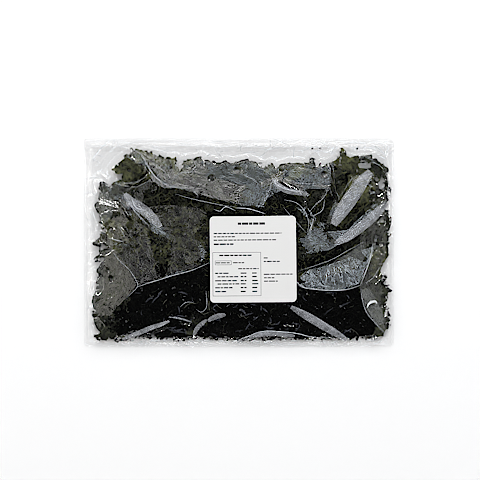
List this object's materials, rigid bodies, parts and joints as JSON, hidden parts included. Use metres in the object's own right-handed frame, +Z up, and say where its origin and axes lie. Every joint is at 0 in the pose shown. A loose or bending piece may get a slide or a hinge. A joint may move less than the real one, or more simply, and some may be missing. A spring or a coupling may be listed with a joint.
{
  "type": "pouch of dried wakame",
  "caption": "Clear heat-sealed film pouch filled with dried wakame: crumpled dark fronds on a bed of broken leaf, with a plain square paper label on the front.",
  "frame": {"origin": "under the middle of the pouch, on the surface that it lies on", "axes": "+X along the pouch's long side, +Y towards its wide top seal, +Z up out of its front face"},
  "size_m": [0.3, 0.202, 0.0238],
  "materials": {
    "clear_film": "clear, thin, glossy polypropylene film, wrinkled where it is drawn over the leaf and ribbed at the welds",
    "label_paper": null,
    "dark_blade": "dried seaweed blade, leathery, near black with a green tint, faintly shiny",
    "olive_blade": "thinner dried seaweed blade, olive green, translucent at the edges",
    "broken_leaf": "broken dried seaweed, black, with small glints on its edges"
  },
  "bodies": {
    "root": {"film_front": "clear_film", "film_back": "clear_film", "label": "label_paper", "corner_leaf_upper_left": "olive_blade", "spike_left": "dark_blade", "curl_left": "dark_blade", "frill_left": "olive_blade", "shred_left": "dark_blade", "broad_leaf_lower_left": "dark_blade", "folded_leaf_top_left": "olive_blade", "broad_leaf_top": "dark_blade", "leaf_top_middle": "dark_blade", "leaf_top_right": "olive_blade", "tendril_top": "dark_blade", "ruffle_top_right": "dark_blade", "arrow_leaf": "olive_blade", "arched_strap": "dark_blade", "hanging_leaf": "dark_blade", "slanting_strap_upper": "olive_blade", "slanting_strap_lower": "dark_blade", "frill_right": "dark_blade", "shred_right": "olive_blade", "fan_leaf": "dark_blade", "leaf_lower_right": "dark_blade", "broad_leaf_middle_left": "olive_blade", "leaf_beside_label": "dark_blade", "leaf_behind_ridge": "dark_blade", "leaf_above_label": "olive_blade", "leaf_right_middle": "dark_blade", "shred_in_crumbs": "dark_blade", "bed_of_broken_leaf": "broken_leaf", "crumb_1": "broken_leaf", "crumb_2": "broken_leaf", "crumb_3": "broken_leaf"}
  },
  "joints": []
}
